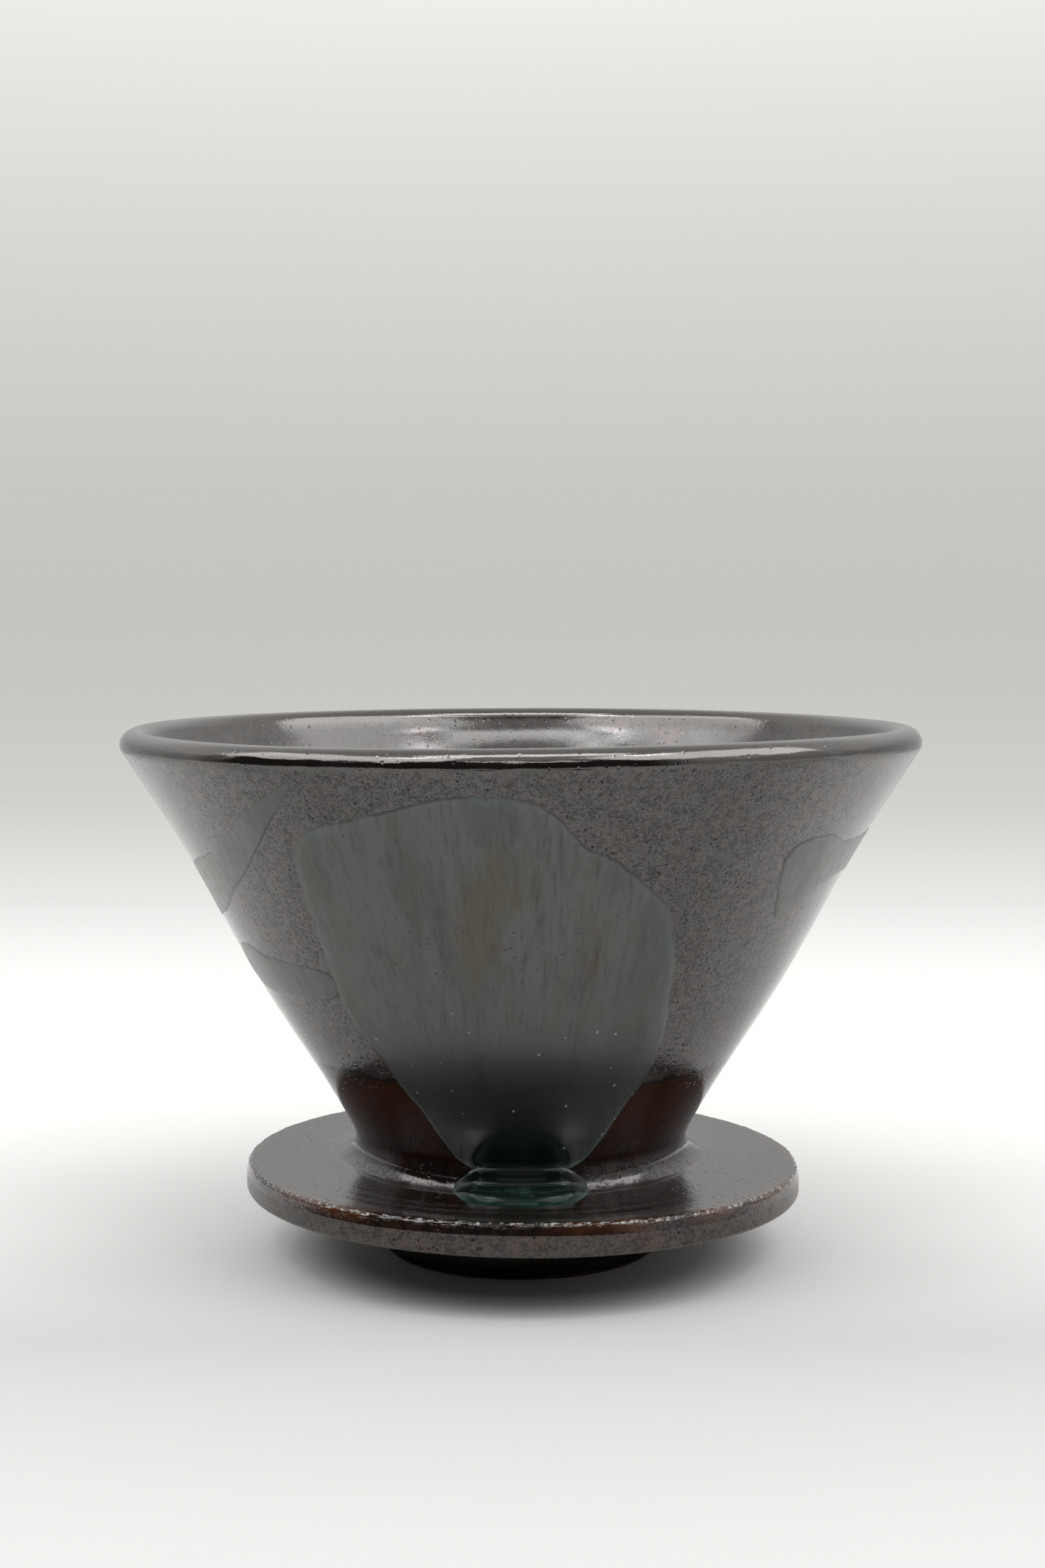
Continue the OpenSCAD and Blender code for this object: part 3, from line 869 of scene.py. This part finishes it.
def ashGlaze():
    # satin ash glaze: bluish and brownish smudges and streaks drawn down the wall, a broken dark line of
    # painted shade and a paler rim at its edge, small pits high up; glossy, clear and deep green low down,
    # with pale bubbles
    look, size = ashGlazeLook, ashGlazeLook["grains"]
    finish, tree, shader, where = newFinish("ashGlaze")
    down = downTheWall(tree, where)
    smudge = grains(tree, down, size["smudge"], 4, 0.6, stretch=(1, 1, 4))
    warm = grains(tree, down, size["warm"], 4, 0.6, stretch=(1, 1, 4), shift=(2, 0, 5))
    streaks = grains(tree, down, size["streaks"], 4, 0.6, stretch=(1, 1, 2.2))
    brush = grains(tree, down, size["brush"], 3, 0.6, stretch=(1, 1, 2.4))
    mottle = grains(tree, where, size["mottle"], 5, 0.6)
    patchy = grains(tree, where, size["patchy"], 3, shift=(4, 2, 1))
    height = heightOf(tree, where)
    wavering = sums(tree, "ADD", height, sums(tree, "MULTIPLY", smudge, look["clearWaver"] * mm))
    low = span(tree, wavering, *(z * mm for z in look["clear"]))
    high = span(tree, height, 36 * mm, 50 * mm)
    dry = span(tree, height, *(z * mm for z in look["dryFrom"]), 0.10, 1.0)
    edge = mark(tree, "edgeMm")
    bluish = span(tree, smudge, 0.49, 0.60)
    brownish = sums(tree, "MULTIPLY", span(tree, warm, 0.53, 0.64), high)
    rim = sums(tree, "MULTIPLY", span(tree, edge, 1.8, 0.5), span(tree, patchy, 0.40, 0.60))
    clearEdge = sums(tree, "MULTIPLY", span(tree, edge, 1.1, 0.3), span(tree, height, 32 * mm, 28 * mm))
    # painted shade: a dark, duller line along the pour's thin edge, standing in for the shadow in the groove
    # where the coat meets the wall
    line = sums(tree, "MULTIPLY", span(tree, edge, 0.55, 0.15), span(tree, patchy, 0.60, 0.44, 0.2, 0.95))
    colour = blend(tree, bluish, look["body"], look["blue"])
    colour = blend(tree, brownish, colour, look["brown"])
    colour = blend(tree, sums(tree, "MULTIPLY", span(tree, streaks, 0.50, 0.70), 0.5), colour, look["brown"])
    colour = blend(tree, low, colour, look["depth"])
    colour = blend(tree, span(tree, height, *(z * mm for z in look["footFrom"])), colour, look["foot"])
    colour = blend(tree, sums(tree, "MULTIPLY", rim, 0.5), colour, look["rim"])
    colour = blend(tree, clearEdge, colour, look["paleEdge"])
    bubbles = sums(tree, "MULTIPLY", dots(tree, where, look["bubbles"], 0.085),
                   span(tree, height, 48 * mm, 40 * mm))
    colour = blend(tree, sums(tree, "MULTIPLY", bubbles, 0.8), colour, look["bubble"])
    colour = blend(tree, line, colour, look["line"])
    tree.links.new(colour, shader.inputs["Base Color"])
    gloss = blend(tree, bluish, look["glossBody"], look["glossBlue"])
    gloss = blend(tree, brownish, gloss, look["glossBrown"])
    dull = sums(tree, "ADD", sums(tree, "MULTIPLY", span(tree, streaks, 0.50, 0.68), 0.38),
                sums(tree, "MULTIPLY", span(tree, brush, 0.50, 0.68), 0.45))
    dull = sums(tree, "MULTIPLY", dull, span(tree, low, 0, 1, 1.0, 0.15))
    gloss = blend(tree, dull, gloss, look["glossLine"])
    gloss = blend(tree, sums(tree, "MULTIPLY", low, 0.8), gloss, look["glossLow"])
    pits = sums(tree, "MULTIPLY", dots(tree, where, look["pits"], 0.17), span(tree, patchy, 0.48, 0.56))
    pits = sums(tree, "MULTIPLY", pits, span(tree, height, 44 * mm, 50 * mm))
    gloss = blend(tree, sums(tree, "MAXIMUM", line, pits), gloss, look["glossLine"])
    tree.links.new(gloss, shader.inputs["Specular Tint"])
    uneven = sums(tree, "MULTIPLY", span(tree, mottle, 0.3, 0.7, -0.04, 0.05), dry)
    rough = sums(tree, "ADD", uneven, span(tree, height, 21 * mm, 33 * mm, 0.13, 0.30))
    tree.links.new(rough, shader.inputs["Roughness"])
    skin = relief(tree, sums(tree, "MULTIPLY", mottle, dry), 0.009)
    skin = relief(tree, sums(tree, "MULTIPLY", brush, dry), 0.004, skin)
    skin = relief(tree, sums(tree, "SUBTRACT", 1.0, pits), 0.03, skin)
    tree.links.new(skin, shader.inputs["Normal"])
    shader.inputs["IOR"].default_value = look["ior"]
    return finish


poolGlazeLook = {
    "film": (0.0030, 0.0052, 0.0056),
    "deep": (0.0050, 0.0120, 0.0100),
    "shallow": (0.012, 0.032, 0.028),
    "ends": (0.040, 0.095, 0.082),
    "milk": (0.045, 0.090, 0.078),
    "glossPuddle": (0.30, 0.34, 0.33),
    "glossFilm": (0.60, 0.62, 0.62),
    "grains": {"cloud": 160, "wisps": 420},
    "rough": 0.07,
    "ior": 1.5,
}


def poolGlaze():
    # glassy green puddle: dark where it is deep, teal where it is shallow, paler at its thin ends, with milky
    # wisps; the film above it is nearly black and glossier
    look, size = poolGlazeLook, poolGlazeLook["grains"]
    finish, tree, shader, where = newFinish("poolGlaze")
    wisps = grains(tree, where, size["wisps"], 5, 0.6, stretch=(1, 1, 2))
    cloud = grains(tree, where, size["cloud"], 2, 0.5, shift=(0, 3, 0))
    deep = sums(tree, "ADD", mark(tree, "deep"), sums(tree, "MULTIPLY", cloud, 0.5))
    puddle = mark(tree, "puddle")
    colour = blend(tree, span(tree, deep, 0.55, 1.35), look["shallow"], look["deep"])
    thin = sums(tree, "MULTIPLY", span(tree, deep, 1.25, 0.70), mark(tree, "ends"))
    colour = blend(tree, thin, colour, look["ends"])
    colour = blend(tree, sums(tree, "MULTIPLY", span(tree, wisps, 0.50, 0.72), 0.5), colour, look["milk"])
    colour = blend(tree, puddle, look["film"], colour)
    tree.links.new(colour, shader.inputs["Base Color"])
    gloss = blend(tree, puddle, look["glossFilm"], look["glossPuddle"])
    tree.links.new(gloss, shader.inputs["Specular Tint"])
    shader.inputs["Roughness"].default_value = look["rough"]
    tree.links.new(relief(tree, wisps, 0.012), shader.inputs["Normal"])
    shader.inputs["IOR"].default_value = look["ior"]
    return finish


footLook = {
    "clay": (0.050, 0.022, 0.014),
    "glaze": (0.0030, 0.0022, 0.0022),
    "line": 0.6,                # height above the table where the glaze was wiped off, mm
    "waver": 1.2,               # how far that line wavers, mm
    "grains": {"waver": 120, "grit": 1800},
}


def footClay():
    # toasted bare clay at the base, in light and dark grit, and dull dark glaze above a wavering wiped line
    look, size = footLook, footLook["grains"]
    finish, tree, shader, where = newFinish("footClay")
    height = heightOf(tree, where)
    waver = grains(tree, where, size["waver"], 3)
    grit = grains(tree, where, size["grit"], 5, 0.7)
    edge = sums(tree, "ADD", height, sums(tree, "MULTIPLY", waver, -look["waver"] * mm))
    glazed = span(tree, edge, (look["line"] - 0.8) * mm, (look["line"] - 0.5) * mm)
    clay = blend(tree, span(tree, grit, 0.35, 0.7), look["clay"], tuple(0.55 * c for c in look["clay"]))
    tree.links.new(blend(tree, glazed, clay, look["glaze"]), shader.inputs["Base Color"])
    tree.links.new(span(tree, glazed, 0, 1, 0.85, 0.2), shader.inputs["Roughness"])
    tree.links.new(relief(tree, grit, 0.05), shader.inputs["Normal"])
    shader.inputs["Specular IOR Level"].default_value = 0.15
    return finish


wallFinish = darkGlaze("wallGlaze", 2.10, 0.74)         # lustrous, seldom amber
baseFinish = darkGlaze("baseGlaze", 1.80, 0.50)         # thicker and clearer on the flange and the coil
ashFinish = ashGlaze()


def finishPiece(piece, finish):
    # gives a piece its material and its body
    piece.data.materials.append(finish)
    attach(piece, "root")


finishPiece(buildCone(), wallFinish)
finishPiece(buildFlange(), baseFinish)
finishPiece(buildCoil(), baseFinish)
finishPiece(buildFoot(), footClay())
print("cone, flange, coil and foot turned")
for k in range(1, rib["count"] + 1):
    finishPiece(buildRib(k), wallFinish)
print("ribs laid:", rib["count"])
for name, pour in pours.items():
    finishPiece(buildPour(name, pour), ashFinish)
finishPiece(buildPool(), poolGlaze())
print("glaze poured:", len(pours) + 1)


studio = {                      # in metres, from the middle of the foot
    "floorReach": 1.3,          # to the back and the sides
    "floorFront": 0.58,         # to the open front of the tent
    "floorPaintedShade": [            # distance in front (-) or behind (+), and the paper's white there with painted shade, dark in front of the dripper and falling off far behind
        (-0.58, 0.45), (-0.12, 0.56), (-0.05, 0.51), (0.005, 0.71), (0.06, 0.76), (0.15, 0.77), (0.27, 0.74),
        (0.42, 0.67), (1.3, 0.62)],
    "floorFade": (0.40, 1.05),  # where the paper melts into the backdrop
    "backdrop": [               # sine of the angle one looks up at, and how bright the backdrop is there: painted light and shade, dim in the middle, brighter low down and high up
        (-0.16, 0.86), (-0.128, 0.745), (-0.105, 0.69), (-0.082, 0.635), (-0.04, 0.575), (0.0, 0.555),
        (0.05, 0.575), (0.107, 0.63), (0.16, 0.70), (0.204, 0.77), (0.247, 0.86), (0.42, 0.92)],
    "tentFoot": (0.56, 0.56, 0.55),
    "tentBands": [              # how high each shade of the tent begins and is full, as a sine, and the shade
        (0.10, 0.26, (0.76, 0.76, 0.75)), (0.26, 0.42, (1.05, 1.05, 1.04)), (0.55, 0.90, (0.80, 0.80, 0.79))],
    "frontLeft": (-104, -88),   # edges of the tent's dark open front, degrees round from the front
    "frontRight": (52, 36),
    "frontTop": (44, 36),       # and degrees up
    "frontShade": (0.02, 0.02, 0.02),
    "panels": [                 # size, place and power of each soft light
        ((0.95, 0.50), (-0.57, -0.27, 0.69), 3.9), ((0.95, 0.50), (0.57, -0.27, 0.69), 3.9),
        ((0.15, 0.10), (-0.33, -0.37, 0.82), 0.35), ((0.15, 0.10), (0.36, -0.33, 0.82), 0.35),
        ((0.60, 0.26), (0, -0.27, 0.95), 2.2), ((0.50, 0.06), (0, -0.80, 0.56), 0.34)],
}


def buildFloor():
    # a flat grid for the paper on the table; its colour carries painted shade that changes with the distance,
    # and far off it turns clear until the backdrop takes over
    reach, front, lines = studio["floorReach"], -studio["floorFront"], 12
    across = np.linspace(-reach, reach, lines)[None, :]
    along = np.linspace(front, reach, lines)[:, None]
    points = np.stack(np.broadcast_arrays(across, along, 0.0), axis=-1).reshape(-1, 3)
    mesh = bpy.data.meshes.new("floor")
    mesh.from_pydata(points.tolist(), [], ringFaces(lines, lines, False, False).tolist())
    floor = bpy.data.objects.new("floor", mesh)
    bpy.context.scene.collection.objects.link(floor)
    finish, tree, shader, where = newFinish("floorPaper")
    depth = addNode(tree, "ShaderNodeSeparateXYZ", {0: where}).outputs[1]
    # the paper's white with painted shade that changes with the distance
    ramp = addNode(tree, "ShaderNodeValToRGB", {0: span(tree, depth, front, reach)})
    setStops(ramp, [((far - front) / (reach - front), white) for far, white in studio["floorPaintedShade"]], 0.98)
    tree.links.new(ramp.outputs[0], shader.inputs["Base Color"])
    shader.inputs["Roughness"].default_value = 0.9
    shader.inputs["Specular IOR Level"].default_value = 0.1
    clear = addNode(tree, "ShaderNodeBsdfTransparent")
    fade = addNode(tree, "ShaderNodeMixShader", {0: span(tree, depth, *studio["floorFade"])})
    tree.links.new(shader.outputs[0], fade.inputs[1])
    tree.links.new(clear.outputs[0], fade.inputs[2])
    tree.links.new(fade.outputs[0], tree.nodes["Material Output"].inputs[0])
    floor.data.materials.append(finish)


def setStops(ramp, stops, blue):
    # fills a colour ramp with greys whose blue is a little weaker
    marks = ramp.color_ramp.elements
    while len(marks) < len(stops):
        marks.new(0.5)
    for element, (at, grey) in zip(marks, stops):
        element.position = at
        element.color = (grey, grey, grey * blue, 1)


def buildRoom():
    # the camera sees a backdrop with painted light and shade that change with the height; all else sees a
    # pale tent, open and dark at the front
    world = bpy.data.worlds.new("room")
    bpy.context.scene.world = world
    world.use_nodes = True
    tree = world.node_tree
    tree.nodes.clear()
    way = addNode(tree, "ShaderNodeTexCoord").outputs["Generated"]
    x, y, z = addNode(tree, "ShaderNodeSeparateXYZ", {0: way}).outputs
    # the camera's backdrop: painted light and shade by height
    stops = studio["backdrop"]
    lowest, highest = stops[0][0], stops[-1][0]
    ramp = addNode(tree, "ShaderNodeValToRGB", {0: span(tree, z, lowest, highest)})
    setStops(ramp, [((up - lowest) / (highest - lowest), white) for up, white in stops], 0.955)
    turn = sums(tree, "ARCTAN2", x, sums(tree, "MULTIPLY", y, -1.0))
    leftSide = span(tree, turn, *map(math.radians, studio["frontLeft"]))
    rightSide = span(tree, turn, *map(math.radians, studio["frontRight"]))
    below = span(tree, z, *(math.sin(math.radians(up)) for up in studio["frontTop"]))
    openFront = sums(tree, "MULTIPLY", sums(tree, "MULTIPLY", leftSide, rightSide), below)
    tent = studio["tentFoot"]
    for start, full, shade in studio["tentBands"]:
        tent = blend(tree, span(tree, z, start, full), tent, shade)
    tent = blend(tree, openFront, tent, studio["frontShade"])
    seen = addNode(tree, "ShaderNodeLightPath").outputs["Is Camera Ray"]
    shown = blend(tree, seen, tent, ramp.outputs[0])
    light = addNode(tree, "ShaderNodeBackground", {"Color": shown, "Strength": 1.0})
    output = addNode(tree, "ShaderNodeOutputWorld")
    tree.links.new(light.outputs[0], output.inputs[0])


def buildPanels():
    # large soft panels at the left and the right, two small lamps, one panel overhead and a narrow one in
    # front, each aimed at the middle of the dripper
    for size, spot, watts in studio["panels"]:
        lamp = bpy.data.lights.new("panel", "AREA")
        lamp.shape = "RECTANGLE"
        lamp.size, lamp.size_y = size
        lamp.energy = watts
        panel = bpy.data.objects.new("panel", lamp)
        panel.location = spot
        aim = Vector((0, 0, 60 * mm)) - Vector(spot)
        panel.rotation_euler = aim.to_track_quat("-Z", "Y").to_euler()
        bpy.context.scene.collection.objects.link(panel)


view = {
    "distance": 0.3616,         # from the dripper's axis, metres
    "height": 0.101,
    "pitch": 4.42,              # degrees downwards
    "lens": 53.1,               # focal length and sensor width, mm
    "sensor": 36,
    "shift": 0.0009,
}


def buildCamera():
    # straight in front, a little above the rim, tipped slightly down
    lens = bpy.data.cameras.new("camera")
    lens.lens = view["lens"]
    lens.sensor_width = view["sensor"]
    lens.clip_start = 0.01
    lens.shift_x = view["shift"]
    camera = bpy.data.objects.new("camera", lens)
    camera.location = (0, -view["distance"], view["height"])
    camera.rotation_euler = (math.radians(90 - view["pitch"]), 0, 0)
    bpy.context.scene.collection.objects.link(camera)
    bpy.context.scene.camera = camera


buildFloor()
buildRoom()
buildPanels()
buildCamera()
bpy.context.scene.view_settings.view_transform = "Standard"
print("floor, light and camera set")
